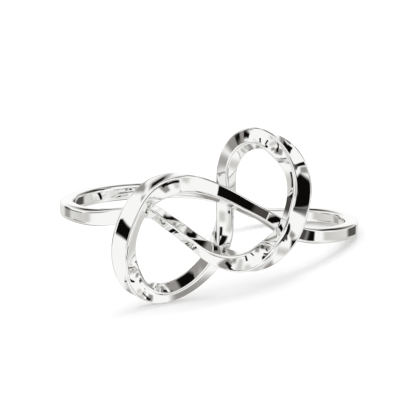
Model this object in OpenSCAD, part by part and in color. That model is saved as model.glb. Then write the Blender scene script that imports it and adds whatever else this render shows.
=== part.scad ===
// Finger ring made of one continuous bar. The band goes round the finger and its two ends
// run into an open knot of two loops at the front: a lower left loop and an upper right one.
// Millimetres, +Z up. The ring lies on its side, as it rests on a flat floor, knot towards -Y.

/* [Finger hole] */
// Inside diameter of the band across the finger
finger_d = 17.3; // [16:0.1:19]

/* [Bar] */
// Thickness of the bar against the measured one
bar_scale = 1; // [0.95:0.01:1.1]
// Rounding of the bar's four long edges, as a part of its thickness
edge_round = 0.15; // [0.1:0.01:0.3]

/* [Rest] */
// Tip of the finger's line away from the front, lying on the floor
rest_pitch = 5.2; // [0:0.1:12]
// Lean of the ring down to its right side, lying on the floor
rest_lean = 10.7; // [0:0.1:15]

/* [Hidden] */

// Length of the tool that clears the finger hole
hole_len = 30;
// Facets round the finger hole
hole_fn = 180;
// Sections from one station of the bar to the next
steps = 5;
// Straight pieces in each rounded long edge
edge_steps = 3;
// Shift that puts the middle of the resting ring over the origin and its lowest points on the floor
rest_shift = [-0.03, 0.73, 2.951];

finger_r = finger_d / 2;

// Stations along the middle of the bar, in order from under the right loop round the back.
// turn: degrees round the finger from the front, to the right. out: from the finger hole's wall.
// up: along the finger. roll: of the section about the bar. thick, wide: sides of the section,
// thick outwards and wide along the finger where roll is 0. The finger hole cuts the band's inside.
TURN = 0;
OUT = 1;
UP = 2;
ROLL = 3;
THICK = 4;
WIDE = 5;
stations = [
    // band: right side, back with its step, left side
    [32, 0.38, 0.11, -6, 1.06, 0.92],
    [41, 0.34, -0.40, 0, 1.12, 0.95],
    [53, 0.34, -0.58, 0, 1.12, 0.97],
    [71, 0.34, -0.68, 0, 1.12, 0.97],
    [90, 0.34, -0.66, 0, 1.12, 0.96],
    [109, 0.34, -0.57, 0, 1.12, 0.94],
    [129, 0.34, -0.62, 0, 1.12, 0.92],
    [146, 0.34, -0.80, 0, 1.12, 0.84],
    [155, 0.34, -0.82, 0, 1.12, 0.80],
    [162, 0.34, -0.68, 0, 1.12, 0.82],
    [169, 0.34, -0.15, 0, 1.12, 0.84],
    [177, 0.34, 0.25, 0, 1.12, 0.88],
    [187, 0.34, 0.56, 0, 1.12, 0.94],
    [204, 0.34, 0.68, 0, 1.12, 1.00],
    [221, 0.34, 0.70, 0, 1.12, 1.04],
    [241, 0.34, 0.66, 0, 1.12, 1.04],
    [270, 0.34, 0.63, 0, 1.12, 1.02],
    [295, 0.34, 0.59, 0, 1.12, 1.06],
    [311, 0.34, 0.62, 0, 1.12, 1.08],
    [324, 0.34, 0.95, 8, 1.04, 0.99],
    // first slanting bar, down through the left loop
    [336, 0.42, 1.35, 22, 0.72, 0.72],
    [342.5, 0.72, 0.83, 30, 0.74, 0.74],
    [347.8, 1.12, 0.44, 38, 0.78, 0.78],
    [355, 1.55, -0.40, 45, 0.80, 0.80],
    [361, 1.68, -1.12, 42, 0.98, 0.98],
    // right loop: bottom, right side, top, left side
    [368.5, 1.74, -1.63, 15, 1.12, 1.12],
    [375.5, 1.80, -1.60, -20, 1.28, 1.28],
    [382, 1.76, -1.04, -62, 1.30, 1.30],
    [388.7, 1.60, -0.10, -92, 1.32, 1.32],
    [392.8, 1.52, 1.30, -104, 1.28, 1.28],
    [393.8, 1.62, 2.80, -100, 1.28, 1.28],
    [391.4, 1.64, 4.25, -84, 1.20, 1.20],
    [385.7, 1.46, 5.40, -38, 1.14, 1.14],
    [377.5, 1.12, 6.04, 28, 1.15, 1.15],
    [371, 0.88, 5.50, 50, 1.10, 1.10],
    [367.5, 0.76, 4.42, 52, 1.00, 1.00],
    // upright bar behind both slanting bars
    [366.8, 0.72, 3.25, 45, 0.96, 0.96],
    [366.6, 0.72, 1.75, 20, 1.06, 1.06],
    [365.8, 0.72, 0.25, -5, 1.10, 1.10],
    [363.2, 0.72, -1.15, -36, 1.06, 1.06],
    // left loop: bottom, left side, top
    [357, 0.74, -2.45, -55, 1.00, 1.00],
    [350, 0.90, -3.32, -60, 1.00, 1.00],
    [343, 1.08, -3.76, -48, 0.98, 0.98],
    [336, 1.28, -3.60, 8, 1.10, 1.10],
    [330.5, 1.42, -2.78, 66, 1.20, 1.20],
    [328, 1.46, -1.30, 94, 1.22, 1.22],
    [329.6, 1.42, 0.25, 98, 1.28, 1.28],
    [333.4, 1.34, 1.65, 86, 1.25, 1.25],
    [339, 1.34, 2.62, 55, 1.22, 1.22],
    [346.3, 1.44, 3.13, 18, 1.22, 1.22],
    [353.7, 1.54, 3.20, -8, 1.15, 1.15],
    [360.2, 1.64, 2.88, -22, 1.02, 1.02],
    // second slanting bar, down to the right side of the band
    [366.5, 1.66, 2.43, -21, 0.90, 0.90],
    [373.2, 1.44, 1.78, -18, 0.80, 0.80],
    [381.5, 0.92, 1.07, -10, 0.74, 0.74],
];
// Stations where one length of bar ends and the next begins
band_end = 20;
right_top = 33;
left_bottom = 42;
last = len(stations);

function station(i) = stations[(i % last + last) % last];
function spot(i) = let (s = station(i), r = finger_r + s[OUT])
    [r * sin(s[TURN]), -r * cos(s[TURN]), s[UP], s[ROLL], s[THICK], s[WIDE]];
// Guide spots of a smooth curve that passes through the stations
function guide(i) = spot(i) - (spot(i - 1) - 2 * spot(i) + spot(i + 1)) / 6;
function curve(i, w) =
    (pow(1 - w, 3) * guide(i - 1) + (3 * pow(w, 3) - 6 * w * w + 4) * guide(i)
    + (-3 * pow(w, 3) + 3 * w * w + 3 * w + 1) * guide(i + 1) + pow(w, 3) * guide(i + 2)) / 6;
function slope(i, w) =
    (-pow(1 - w, 2) * guide(i - 1) + (3 * w * w - 4 * w) * guide(i)
    + (-3 * w * w + 2 * w + 1) * guide(i + 1) + w * w * guide(i + 2)) / 2;
function unit(v) = v / norm(v);
function xyz(v) = [v[0], v[1], v[2]];

// Square of side 1 with rounded corners
outline = [for (c = [0:3], e = [0:edge_steps])
    let (mid = 90 * c + 45, a = 90 * c + 90 * e / edge_steps)
    (0.5 - edge_round) * sqrt(2) * [cos(mid), sin(mid)] + edge_round * [cos(a), sin(a)]];
corners = len(outline);

// Section of the bar at one place: the outline set square to the bar, one side facing outwards
function section(i, w) = let (
    c = curve(i, w), t = unit(xyz(slope(i, w))), away = unit([c[0], c[1], 0]),
    n = unit(away - (away * t) * t), b = cross(t, n),
    p = n * cos(c[ROLL]) + b * sin(c[ROLL]), q = b * cos(c[ROLL]) - n * sin(c[ROLL]))
    [for (o = outline) xyz(c) + bar_scale * (c[THICK] * o[0] * p + c[WIDE] * o[1] * q)];

// Length of bar from one station to another
module bar(first, end) {
    rows = [for (k = [0:(end - first) * steps]) section(first + floor(k / steps), (k % steps) / steps)];
    top = len(rows) - 1;
    sides = [for (k = [0:top - 1], j = [0:corners - 1]) let (
        a = k * corners + j, b = k * corners + (j + 1) % corners, c = a + corners, d = b + corners)
        each [[a, c, b], [b, c, d]]];
    caps = [[for (j = [0:corners - 1]) j], [for (j = [corners - 1:-1:0]) top * corners + j]];
    polyhedron(points = [for (r = rows) each r], faces = concat(sides, caps));
}

module band() bar(0, band_end);
module right_loop() bar(band_end, right_top);
module upright() bar(right_top, left_bottom);
module left_loop() bar(left_bottom, last);

// The four lengths as one closed skin
module wire() {
    resize([0, 0, 0]) {
        band();
        right_loop();
        upright();
        left_loop();
    }
}

// The wire with the finger hole cleared to its true round wall, laid down as it rests
module ring() {
    color("silver")
        translate(rest_shift) rotate([-rest_pitch, rest_lean, 0])
            difference() {
                wire();
                cylinder(h = hole_len, r = finger_r, center = true, $fn = hole_fn);
            }
}

ring();
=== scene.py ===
# %% [markdown]
# # An open knot ring in polished silver
#
# The real object is a slim finger ring. It is one continuous bar of silver, squarish in section. At the
# back it is a plain band, and at the front it winds through an open knot of two loops, shaped like a
# lying figure eight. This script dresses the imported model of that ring: it makes a fine mesh of the bar,
# gives it a polished metal and photographs it on white paper, the way small jewellery is shown.
#
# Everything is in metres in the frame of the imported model. Sizes of the ring are written in millimetres
# and turned into metres with one factor, MM.

import math

import bpy
import numpy as np
from mathutils import Matrix, Vector


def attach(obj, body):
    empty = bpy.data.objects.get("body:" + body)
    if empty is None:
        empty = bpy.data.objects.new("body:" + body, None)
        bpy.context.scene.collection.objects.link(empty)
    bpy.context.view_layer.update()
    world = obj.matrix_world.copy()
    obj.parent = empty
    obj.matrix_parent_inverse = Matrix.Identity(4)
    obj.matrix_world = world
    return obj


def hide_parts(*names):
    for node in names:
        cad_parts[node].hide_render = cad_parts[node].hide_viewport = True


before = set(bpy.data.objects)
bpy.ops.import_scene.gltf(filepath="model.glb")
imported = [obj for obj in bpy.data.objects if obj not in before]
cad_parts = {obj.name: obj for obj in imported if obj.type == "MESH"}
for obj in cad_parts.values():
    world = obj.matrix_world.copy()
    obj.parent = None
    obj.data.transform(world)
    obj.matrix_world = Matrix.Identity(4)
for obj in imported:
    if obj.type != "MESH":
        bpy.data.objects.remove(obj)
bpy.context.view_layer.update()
MM = 0.001

# %% [markdown]
# ## How the ring lies
#
# A ring is easiest to describe standing in its own axes, with the finger along Z and the knot towards -Y.
# On the floor it rests on the bottom of its left loop and on the right of its band, so the finger's line
# leans over. One turn and one shift take every point from the ring's own axes to its place on the floor.

# %% From the ring's own axes to the floor
REST_PITCH = 5.2
REST_LEAN = 10.7
REST_SHIFT = (-0.03, 0.73, 2.951)

lean = Matrix.Rotation(math.radians(REST_LEAN), 3, "Y") @ Matrix.Rotation(math.radians(-REST_PITCH), 3, "X")
ring_middle = Vector(REST_SHIFT) * MM
print("finger's line in the room:", [round(c, 3) for c in lean @ Vector((0, 0, 1))])

# %% [markdown]
# ## The bar
#
# A goldsmith would cast or solder this knot from square wire. The same idea works here: one closed curve
# runs along the middle of the wire, and a rounded square travels along it. Blender's own curve object
# can bevel a curve with a profile, but it turns the profile by its own rule. Here the way each face of
# the bar looks decides what it mirrors, so the sweep is worked out station by station.
#
# Each station gives the place and the section of the bar: degrees round the finger, distance of the
# middle of the bar from the finger, height along the finger, roll of the section, and its two sides.

# %% Stations along the bar
FINGER_RADIUS = 8.65
TURN, OUT, UP, ROLL, THICK, WIDE = range(6)
STATIONS = [
    # band: right side, back with its step, left side
    (32, 0.38, 0.11, -6, 1.06, 0.92),
    (41, 0.34, -0.40, 0, 1.12, 0.95),
    (53, 0.34, -0.58, 0, 1.12, 0.97),
    (71, 0.34, -0.68, 0, 1.12, 0.97),
    (90, 0.34, -0.66, 0, 1.12, 0.96),
    (109, 0.34, -0.57, 0, 1.12, 0.94),
    (129, 0.34, -0.62, 0, 1.12, 0.92),
    (146, 0.34, -0.80, 0, 1.12, 0.84),
    (155, 0.34, -0.82, 0, 1.12, 0.80),
    (162, 0.34, -0.68, 0, 1.12, 0.82),
    (169, 0.34, -0.15, 0, 1.12, 0.84),
    (177, 0.34, 0.25, 0, 1.12, 0.88),
    (187, 0.34, 0.56, 0, 1.12, 0.94),
    (204, 0.34, 0.68, 0, 1.12, 1.00),
    (221, 0.34, 0.70, 0, 1.12, 1.04),
    (241, 0.34, 0.66, 0, 1.12, 1.04),
    (270, 0.34, 0.63, 0, 1.12, 1.02),
    (295, 0.34, 0.59, 0, 1.12, 1.06),
    (311, 0.34, 0.62, 0, 1.12, 1.08),
    (324, 0.34, 0.95, 8, 1.04, 0.99),
    # first slanting bar, down through the left loop
    (336, 0.42, 1.35, 22, 0.72, 0.72),
    (342.5, 0.72, 0.83, 30, 0.74, 0.74),
    (347.8, 1.12, 0.44, 38, 0.78, 0.78),
    (355, 1.55, -0.40, 45, 0.80, 0.80),
    (361, 1.68, -1.12, 42, 0.98, 0.98),
    # right loop: bottom, right side, top, left side
    (368.5, 1.74, -1.63, 15, 1.12, 1.12),
    (375.5, 1.80, -1.60, -20, 1.28, 1.28),
    (382, 1.76, -1.04, -62, 1.30, 1.30),
    (388.7, 1.60, -0.10, -92, 1.32, 1.32),
    (392.8, 1.52, 1.30, -104, 1.28, 1.28),
    (393.8, 1.62, 2.80, -100, 1.28, 1.28),
    (391.4, 1.64, 4.25, -84, 1.20, 1.20),
    (385.7, 1.46, 5.40, -38, 1.14, 1.14),
    (377.5, 1.12, 6.04, 28, 1.15, 1.15),
    (371, 0.88, 5.50, 50, 1.10, 1.10),
    (367.5, 0.76, 4.42, 52, 1.00, 1.00),
    # upright bar behind both slanting bars
    (366.8, 0.72, 3.25, 45, 0.96, 0.96),
    (366.6, 0.72, 1.75, 20, 1.06, 1.06),
    (365.8, 0.72, 0.25, -5, 1.10, 1.10),
    (363.2, 0.72, -1.15, -36, 1.06, 1.06),
    # left loop: bottom, left side, top
    (357, 0.74, -2.45, -55, 1.00, 1.00),
    (350, 0.90, -3.32, -60, 1.00, 1.00),
    (343, 1.08, -3.76, -48, 0.98, 0.98),
    (336, 1.28, -3.60, 8, 1.10, 1.10),
    (330.5, 1.42, -2.78, 66, 1.20, 1.20),
    (328, 1.46, -1.30, 94, 1.22, 1.22),
    (329.6, 1.42, 0.25, 98, 1.28, 1.28),
    (333.4, 1.34, 1.65, 86, 1.25, 1.25),
    (339, 1.34, 2.62, 55, 1.22, 1.22),
    (346.3, 1.44, 3.13, 18, 1.22, 1.22),
    (353.7, 1.54, 3.20, -8, 1.15, 1.15),
    (360.2, 1.64, 2.88, -22, 1.02, 1.02),
    # second slanting bar, down to the right side of the band
    (366.5, 1.66, 2.43, -21, 0.90, 0.90),
    (373.2, 1.44, 1.78, -18, 0.80, 0.80),
    (381.5, 0.92, 1.07, -10, 0.74, 0.74),
]
print("stations:", len(STATIONS))

# %% [markdown]
# The band's stations are cut flat on the inside by the finger. The fine mesh takes its inner face
# straight from the finger's wall, so that its inner edges can be rounded like the others.

# %% Knots of the smooth curve
def finished(station):
    """The station with its inside face on the finger's wall instead of inside the finger."""
    turn, out, up, roll, thick, wide = station
    outer = out + thick / 2
    if out < thick / 2:
        out, thick = outer / 2, outer
    return turn, out, up, roll, thick, wide


# Rounding of the four long edges, as a part of the bar's thickness, and the turns between which the
# bar is the plain band
KNOT_EDGE, BAND_EDGE = 0.16, 0.27
BAND_START, BAND_END = 45, 315


def placed(station):
    """Position of the bar's middle in mm, roll in radians, the section's sides and its edges' rounding."""
    turn, out, up, roll, thick, wide = finished(station)
    around, radius = math.radians(turn), FINGER_RADIUS + out
    edge = BAND_EDGE if BAND_START < turn < BAND_END else KNOT_EDGE
    x, y = radius * math.sin(around), -radius * math.cos(around)
    return x, y, up, math.radians(roll), thick, wide, edge


spots = np.array([placed(s) for s in STATIONS])
# These spots pull a smooth cubic curve through the stations, with no kink in its bend.
guides = spots - (np.roll(spots, 1, axis=0) - 2 * spots + np.roll(spots, -1, axis=0)) / 6
gaps = np.linalg.norm(np.roll(spots[:, :3], -1, axis=0) - spots[:, :3], axis=1)
print("length of the bar: about", round(float(gaps.sum()), 1), "mm")

# %% The curve and its direction
STEPS = 24


def blended(basis):
    """Weighs the four guides round each stretch of the curve with one basis."""
    rows = []
    for i in range(len(guides)):
        four = [guides[(i + k) % len(guides)] for k in (-1, 0, 1, 2)]
        rows.append(sum(b * g for b, g in zip(basis, four)))
    return np.concatenate(rows)


# How far along its stretch from one station to the next each section lies
w = np.arange(STEPS)[:, None] / STEPS
place_basis = [
    (1 - w) ** 3 / 6,
    (3 * w**3 - 6 * w**2 + 4) / 6,
    (-3 * w**3 + 3 * w**2 + 3 * w + 1) / 6,
    w**3 / 6,
]
slope_basis = [
    -((1 - w) ** 2) / 2,
    (3 * w**2 - 4 * w) / 2,
    (-3 * w**2 + 2 * w + 1) / 2,
    w**2 / 2,
]
along = blended(place_basis)
slope = blended(slope_basis)[:, :3]
print("sections:", len(along))

# %% [markdown]
# The section is a square with small round edges, a little rounder in the band, which rubs against the
# other fingers. A mirror finish shows every edge as a thin bright or dark line, so each edge gets several
# facets, and each flat side only a few.

# %% The rounded square
EDGE_FACETS = 8
FLAT_FACETS = 4


def square_outline():
    """Round a square of side 1: the corner each point belongs to, and the way its rounding goes."""
    corner_of, outward, part_way = [], [], []
    for corner in range(4):
        middle = math.radians(90 * corner + 45)
        here = math.sqrt(0.5) * np.array([math.cos(middle), math.sin(middle)])
        next_side = math.radians(90 * corner + 90)
        ahead = np.array([-math.sin(next_side), math.cos(next_side)])
        for k in range(EDGE_FACETS + 1):
            a = math.radians(90 * (corner + k / EDGE_FACETS))
            corner_of.append(here)
            outward.append(np.array([math.cos(a), math.sin(a)]))
            part_way.append(np.zeros(2))
        for k in range(1, FLAT_FACETS):
            corner_of.append(here)
            outward.append(outward[-1])
            part_way.append(ahead * k / FLAT_FACETS)
    return np.array(corner_of), np.array(outward), np.array(part_way)


corner_of, outward, part_way = square_outline()
print("points round the section:", len(outward))

# %% [markdown]
# At each section one side of the square faces away from the finger before it is rolled. The surface's
# true direction is worked out from the sweep itself and handed to the mesh, so that the flat faces
# mirror cleanly right up to their rounded edges.

# %% Sweep the section along the bar
def unit(v):
    return v / np.linalg.norm(v, axis=-1, keepdims=True)


middle = along[:, :3]
roll, thick, wide = along[:, 3:4], along[:, 4:5], along[:, 5:6]
ahead = unit(slope)
away = unit(middle * (1, 1, 0))
across = unit(away - (away * ahead).sum(axis=1, keepdims=True) * ahead)
beside = np.cross(ahead, across)
first_side = across * np.cos(roll) + beside * np.sin(roll)
second_side = beside * np.cos(roll) - across * np.sin(roll)

edge = along[:, 6][:, None, None]
flat = 1 - 2 * edge
outline = flat * (corner_of + part_way) + edge * outward
thick_way = (thick * first_side)[:, None]
wide_way = (wide * second_side)[:, None]
skin = middle[:, None] + thick_way * outline[..., :1] + wide_way * outline[..., 1:]
# Nothing may stand into the finger: what little does is pushed back to its wall.
radius = np.hypot(skin[..., 0], skin[..., 1])
skin[..., :2] *= np.maximum(1, FINGER_RADIUS / radius)[..., None]

round_section = wide_way * outward[None, :, :1] - thick_way * outward[None, :, 1:]
along_skin = np.roll(skin, -1, axis=0) - np.roll(skin, 1, axis=0)
facing = unit(np.cross(round_section, along_skin))
nearest = float(np.hypot(skin[..., 0], skin[..., 1]).min())
print("nearest to the finger's line:", round(nearest, 3), "mm")

# %% Make the mesh
def on_floor(points):
    """Points in mm in the ring's own axes, put where the ring lies, in metres."""
    return points @ np.array(lean).T * MM + np.array(ring_middle)


def closed_tube(name, points, directions):
    """A mesh tube closed on itself, from sections by points, with its surface directions."""
    rows, columns = points.shape[:2]
    mesh = bpy.data.meshes.new(name)
    faces = []
    for i in range(rows):
        for j in range(columns):
            a, b = i * columns + j, i * columns + (j + 1) % columns
            c, d = (i + 1) % rows * columns + j, (i + 1) % rows * columns + (j + 1) % columns
            faces.append((a, b, d, c))
    mesh.from_pydata(on_floor(points.reshape(-1, 3)).tolist(), [], faces)
    mesh.shade_smooth()
    turned = directions.reshape(-1, 3) @ np.array(lean).T
    mesh.normals_split_custom_set_from_vertices(turned.tolist())
    thing = bpy.data.objects.new(name, mesh)
    bpy.context.scene.collection.objects.link(thing)
    return thing


knot_wire = closed_tube("knot_wire", skin, facing)
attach(knot_wire, "root")
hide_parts("ring")
print("faces:", len(knot_wire.data.polygons))

# %% [markdown]
# ## Polished silver
#
# Silver is the whitest of metals, so its colour here is nearly white. It is fully metallic and keeps the
# default IOR. It was buffed to a mirror on a wheel. That leaves two things for the eye: very soft waves in
# the flat faces, a millimetre or two long, where the wheel pressed, and a haze of fine scratches that
# blurs the mirror a little more here than there. Both stay faint. A rougher metal would spread a little
# light over the faces that mirror something black, and turn them dusty.

# %% Small tools for materials
def linear(hex_colour):
    """An sRGB hex colour as linear RGBA."""
    parts = [int(hex_colour[i : i + 2], 16) / 255 for i in (1, 3, 5)]
    return [c / 12.92 if c <= 0.04045 else ((c + 0.055) / 1.055) ** 2.4 for c in parts] + [1.0]


def add_node(tree, kind, inputs=(), **settings):
    """Adds a node with its settings. inputs pairs a socket's name with a value or another node's output."""
    made = tree.nodes.new(kind)
    for key, value in settings.items():
        setattr(made, key, value)
    for key, value in dict(inputs).items():
        if isinstance(value, bpy.types.NodeSocket):
            tree.links.new(value, made.inputs[key])
        else:
            made.inputs[key].default_value = value
    return made


SILVER_COLOUR = "#F3F3F2"
print("silver as linear colour:", [round(c, 3) for c in linear(SILVER_COLOUR)])

# %% The silver
# In mm: how long the waves are and how high, how far apart the scratches and how deep, and how far
# apart the hazier patches. Real scratches lie closer together. They are drawn as coarse as they need to
# be to show in the picture.
WAVE_LENGTH, WAVE_HEIGHT = 1.6, 0.0012
SCRATCH_SPACING, SCRATCH_DEPTH = 0.05, 0.00002
PATCH_SPACING = 2 * WAVE_LENGTH
# Roughness of the clearest and of the haziest places, and the noise values that stand for them
MIRROR, HAZE = 0.008, 0.024
CLEAR_NOISE, HAZY_NOISE = 0.3, 0.7


def noise(tree, place, spacing, detail, roughness=0.5):
    """A cloudy pattern whose patches are about one spacing in mm apart."""
    inputs = {"Vector": place, "Scale": 1 / (spacing * MM), "Detail": detail, "Roughness": roughness}
    return add_node(tree, "ShaderNodeTexNoise", inputs).outputs["Fac"]


def polished_silver():
    material = bpy.data.materials.new("polished_silver")
    material.use_nodes = True
    tree = material.node_tree
    tree.nodes.clear()
    place = add_node(tree, "ShaderNodeTexCoord").outputs["Object"]
    waves = noise(tree, place, WAVE_LENGTH, detail=1.0, roughness=0.4)
    scratches = noise(tree, place, SCRATCH_SPACING, detail=3.0)
    patches = noise(tree, place, PATCH_SPACING, detail=2.0)
    clear_to_hazy = {"From Min": CLEAR_NOISE, "From Max": HAZY_NOISE, "To Min": MIRROR, "To Max": HAZE}
    haze = add_node(tree, "ShaderNodeMapRange", {"Value": patches, **clear_to_hazy}).outputs["Result"]
    press = {"Height": waves, "Strength": 1.0, "Distance": WAVE_HEIGHT * MM}
    wavy = add_node(tree, "ShaderNodeBump", press).outputs["Normal"]
    scratch = {"Height": scratches, "Strength": 1.0, "Distance": SCRATCH_DEPTH * MM, "Normal": wavy}
    surface = add_node(tree, "ShaderNodeBump", scratch).outputs["Normal"]
    shader = add_node(
        tree,
        "ShaderNodeBsdfPrincipled",
        {"Base Color": linear(SILVER_COLOUR), "Metallic": 1.0, "Roughness": haze, "Normal": surface},
    )
    add_node(tree, "ShaderNodeOutputMaterial", {"Surface": shader.outputs["BSDF"]})
    return material


silver = polished_silver()
knot_wire.data.materials.append(silver)
print("material:", silver.name)

# %% [markdown]
# ## The camera
#
# The ring is seen from the front, a few degrees above its own plane, so its band shows as a thin oval.
# A long lens from far away keeps the front and the back of the ring at one scale. The camera follows the
# ring's lean, so the band lies level in the picture. The scale of the picture and the place of the ring's
# middle in it, in pixels, decide the lens and the point that the camera looks at.

# %% Place the camera
PICTURE = 416
PX_PER_MM = 15.7
ABOVE_PLANE = 6.7
RING_AT = (208.5, 216.0)
DISTANCE = 0.6
SENSOR = 36.0
FAR_END = 20

rise = math.radians(ABOVE_PLANE)
to_right = lean @ Vector((1, 0, 0))
to_top = lean @ Vector((0, math.sin(rise), math.cos(rise)))
to_camera = lean @ Vector((0, -math.cos(rise), math.sin(rise)))
px = MM / PX_PER_MM
aim = ring_middle + to_right * (PICTURE / 2 - RING_AT[0]) * px + to_top * (RING_AT[1] - PICTURE / 2) * px

lens = bpy.data.cameras.new("camera")
lens.sensor_width = SENSOR
lens.lens = SENSOR * DISTANCE / (PICTURE * px)
lens.clip_start = DISTANCE / 10
lens.clip_end = FAR_END
camera = bpy.data.objects.new("camera", lens)
bpy.context.scene.collection.objects.link(camera)
turned = Matrix((to_right, to_top, to_camera)).transposed()
camera.matrix_world = Matrix.Translation(aim + to_camera * DISTANCE) @ turned.to_4x4()
bpy.context.scene.camera = camera
looks_down = math.degrees(math.asin(to_camera.z))
print("lens:", round(lens.lens), "mm, camera looks down by", round(looks_down, 1), "degrees")

# %% [markdown]
# ## White paper and soft light
#
# Small jewellery is photographed on white paper in a white tent. The light is the white of the tent, with
# a little more from a window above and behind, so that the shadow falls softly towards the camera. Only
# the metal sees neither the paper nor the window: it looks through them at the tent and the cards.

# %% Paper floor
PAPER_SIDE = 8.0
PAPER_COLOUR = "#FCFCFC"
PAPER_ROUGHNESS = 0.9


def paper():
    material = bpy.data.materials.new("white_paper")
    material.use_nodes = True
    shader = material.node_tree.nodes["Principled BSDF"]
    shader.inputs["Base Color"].default_value = linear(PAPER_COLOUR)
    shader.inputs["Roughness"].default_value = PAPER_ROUGHNESS
    shader.inputs["Specular IOR Level"].default_value = 0.0
    return material


sheet = bpy.data.meshes.new("floor")
half = PAPER_SIDE / 2
corners = [(-half, -half, 0), (half, -half, 0), (half, half, 0), (-half, half, 0)]
sheet.from_pydata(corners, [], [(0, 1, 2, 3)])
floor = bpy.data.objects.new("floor", sheet)
bpy.context.scene.collection.objects.link(floor)
floor.data.materials.append(paper())
# With the paper out of the metal's sight, cards can hang below the horizon too.
floor.visible_glossy = False
print("paper:", PAPER_SIDE, "m square")

# %% Tent and window
WHITE = "#FFFFFF"
TENT = 1.03
WINDOW = 0.6
# How many degrees wide the window looks from the ring, which softens the shadow, and where it is: a
# little to the right, behind and above
WINDOW_SPREAD = 40
WINDOW_SIDE = (0.35, 0.6, 1.0)

world = bpy.data.worlds.new("tent")
bpy.context.scene.world = world
world.use_nodes = True
world.node_tree.nodes["Background"].inputs["Color"].default_value = linear(WHITE)
world.node_tree.nodes["Background"].inputs["Strength"].default_value = TENT

sun = bpy.data.lights.new("window", "SUN")
sun.energy = WINDOW
sun.angle = math.radians(WINDOW_SPREAD)
window = bpy.data.objects.new("window", sun)
bpy.context.scene.collection.objects.link(window)
window.visible_glossy = False
window.rotation_euler = Vector(WINDOW_SIDE).to_track_quat("Z", "Y").to_euler()
print("tent", TENT, "window", WINDOW)

# %% [markdown]
# ## Cards round the ring
#
# Polished silver has no look of its own: it shows what is round it. In a plain white tent it would look
# like white plastic. So cards in four tones hang round the ring, 0.6 to 1 m away, where one of its faces
# should turn dark, grey or pale. Only the metal sees them. Each card fades out towards its edge, as a
# card does that is out of focus. A face that mirrors the middle of a card shows its tone, and one that
# mirrors the edge shows a soft change to white.
#
# The wide pale and grey cards come first and shade the faces gently. The dark ones come after them and
# give the metal its contrast. Each card hangs a little nearer than the one before it, and so in front
# of it.

# %% Cards
CARD_DISTANCE = 1.0
# How much nearer each card hangs than the one before it, as a part of the distance
CARD_STEP = 0.01
BLACK, DARK, GREY, PALE = "#0E0C0B", "#4B4845", "#9A9794", "#D4D3D0"
# azimuth from the front to the right and height above the ring's plane of the card's middle, its width
# and height, its slant and the width of its soft edge, all in degrees as seen from the ring, and its tone
CARDS = [
    # pale and grey, all round
    ("card_back_low", 180, -24, 160, 70, 0, 34, PALE),
    ("card_left_back_wide", -142, 34, 66, 42, 0, 19, GREY),
    ("card_right_back_wide", 138, 22, 50, 40, 0, 12, GREY),
    ("card_right_top", 82, 62, 70, 36, 0, 14, GREY),
    ("card_left_top_wide", -52, 47, 60, 28, 0, 6, GREY),
    ("card_front_pale", -5, -18, 66, 26, 0, 12, PALE),
    ("card_front_under", -18, -50, 44, 30, 0, 9, GREY),
    ("card_right_fade", 62, 1, 14, 14, -35, 5, GREY),
    ("card_top_wide", 0, 84, 60, 30, 0, 12, GREY),
    ("card_right_side_low", 80, -28, 50, 26, 0, 12, PALE),
    ("card_front_side", 15, -37, 30, 24, 0, 11, GREY),
    ("card_left_pale", -96, 7, 34, 30, 0, 13, GREY),
    ("card_back_deep", -165, -38, 44, 30, 0, 13, GREY),
    ("card_behind_top", 160, 44, 50, 38, 0, 16, GREY),
    ("card_front_grey", -6, 2, 34, 26, 0, 12, PALE),
    ("card_back_under", 138, -56, 44, 40, 0, 16, GREY),
    ("card_left_wide", -80, 32, 40, 30, 0, 13, GREY),
    # in front and on the right
    ("card_stripe", 56, 17, 62, 8.5, -35, 2, BLACK),
    ("card_stripe_end", 80, -2, 20, 13, 0, 4, DARK),
    ("card_right_band", 84, -7.5, 10, 6, 0, 2, BLACK),
    ("card_right_low", 49, -12, 34, 20, -4, 5, BLACK),
    ("card_front_low", 28, 1, 26, 10, -10, 3, BLACK),
    ("card_front_edge", -17, -26, 8, 34, 0, 2, BLACK),
    ("card_under", -12, -44, 12, 20, 0, 3, BLACK),
    # on the right, behind and high up
    ("card_right_back", 124, 26, 38, 20, 0, 4, BLACK),
    ("card_right_back_top", 111, 33, 18, 9, 0, 2, BLACK),
    ("card_right_arch", 124, 48, 22, 20, 0, 6, DARK),
    ("card_right_back_low", 146, -4, 30, 18, 0, 7, DARK),
    ("card_arch_right", 65, 67, 9, 10, 0, 3, BLACK),
    ("card_arch_right_side", 126, 60, 26, 12, 0, 4, DARK),
    # overhead, and high in front
    ("card_top_back", 180, 73, 20, 16, 0, 6, BLACK),
    ("card_zenith", 90, 88, 34, 18, 0, 6, DARK),
    ("card_front_top", -25, 46, 18, 11, 25, 1.5, BLACK),
    # on the left
    ("card_left_top", -31, 57.5, 20, 8, 14, 3, BLACK),
    ("card_left_zenith", -46, 69, 6, 13, 0, 1.5, BLACK),
    ("card_left_arc", -66, 46, 16, 8, 40, 4, BLACK),
    ("card_left_notch", -50, 43, 12, 4, 43, 1.5, BLACK),
    ("card_left_front", -42, -6.7, 7, 8, 0, 1, BLACK),
    ("card_left_back", -140, 36, 40, 20, 0, 8, BLACK),
    ("card_left_side", -142, 1, 20, 24, 0, 8, DARK),
    ("card_left_line", -126, -2, 28, 9, 0, 2, BLACK),
    ("card_left_slant", -124, -18, 24, 6, -57, 1.5, BLACK),
]


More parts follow.
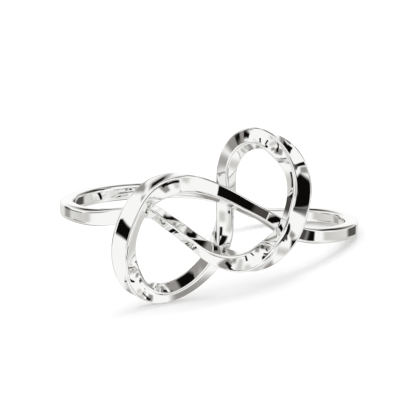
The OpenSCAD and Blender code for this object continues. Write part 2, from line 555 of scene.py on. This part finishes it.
def card_paint(name, width, tall, soft, tone):
    """Flat paint that fades to nothing over the card's soft edge."""
    material = bpy.data.materials.new(name)
    material.use_nodes = True
    tree = material.node_tree
    tree.nodes.clear()
    place = add_node(tree, "ShaderNodeTexCoord").outputs["Object"]
    sides = add_node(tree, "ShaderNodeSeparateXYZ", {"Vector": place})
    cover = []
    for axis, span in (("X", width), ("Y", tall)):
        off_middle = add_node(tree, "ShaderNodeMath", {0: sides.outputs[axis]}, operation="ABSOLUTE")
        # The card's mesh reaches from -1 to 1, so this is where its soft edge starts.
        soft_from = 1 - 2 * soft / span
        full_to_none = {"From Min": soft_from, "From Max": 1.0, "To Min": 1.0, "To Max": 0.0}
        fade = add_node(
            tree,
            "ShaderNodeMapRange",
            {"Value": off_middle.outputs[0], **full_to_none},
            interpolation_type="SMOOTHSTEP",
        )
        cover.append(fade.outputs["Result"])
    both = add_node(tree, "ShaderNodeMath", {0: cover[0], 1: cover[1]}, operation="MULTIPLY")
    clear = add_node(tree, "ShaderNodeBsdfTransparent")
    glow = add_node(tree, "ShaderNodeEmission", {"Color": linear(tone), "Strength": 1.0})
    layers = {0: both.outputs[0], 1: clear.outputs["BSDF"], 2: glow.outputs["Emission"]}
    paint = add_node(tree, "ShaderNodeMixShader", layers)
    add_node(tree, "ShaderNodeOutputMaterial", {"Surface": paint.outputs["Shader"]})
    return material


def hang_card(name, azimuth, height, width, tall, slant, soft, tone, distance):
    """A card that only the metal sees, hung in a given direction from the ring."""
    a, e, s = math.radians(azimuth), math.radians(height), math.radians(slant)
    towards = Vector((math.sin(a) * math.cos(e), -math.cos(a) * math.cos(e), math.sin(e)))
    right = Vector((math.cos(a), math.sin(a), 0))
    upward = towards.cross(right)
    if upward.z < 0:
        upward.negate()
    long_way = right * math.cos(s) + upward * math.sin(s)
    short_way = upward * math.cos(s) - right * math.sin(s)
    mesh = bpy.data.meshes.new(name)
    mesh.from_pydata([(-1, -1, 0), (1, -1, 0), (1, 1, 0), (-1, 1, 0)], [], [(0, 1, 2, 3)])
    mesh.materials.append(card_paint(name, width, tall, soft, tone))
    card = bpy.data.objects.new(name, mesh)
    bpy.context.scene.collection.objects.link(card)
    axes = [
        lean @ long_way * distance * math.tan(math.radians(width / 2)),
        lean @ short_way * distance * math.tan(math.radians(tall / 2)),
        lean @ towards,
    ]
    turned = Matrix(axes).transposed().to_4x4()
    card.matrix_world = Matrix.Translation(ring_middle + lean @ towards * distance) @ turned
    card.visible_camera = False
    card.visible_diffuse = False
    card.visible_shadow = False


for k, settings in enumerate(CARDS):
    hang_card(*settings, CARD_DISTANCE * (1 - CARD_STEP * k))
print("cards:", len(CARDS))

# %% Picture settings
view_settings = bpy.context.scene.view_settings
view_settings.view_transform = "Standard"
view_settings.look = "None"
print("view transform:", view_settings.view_transform)
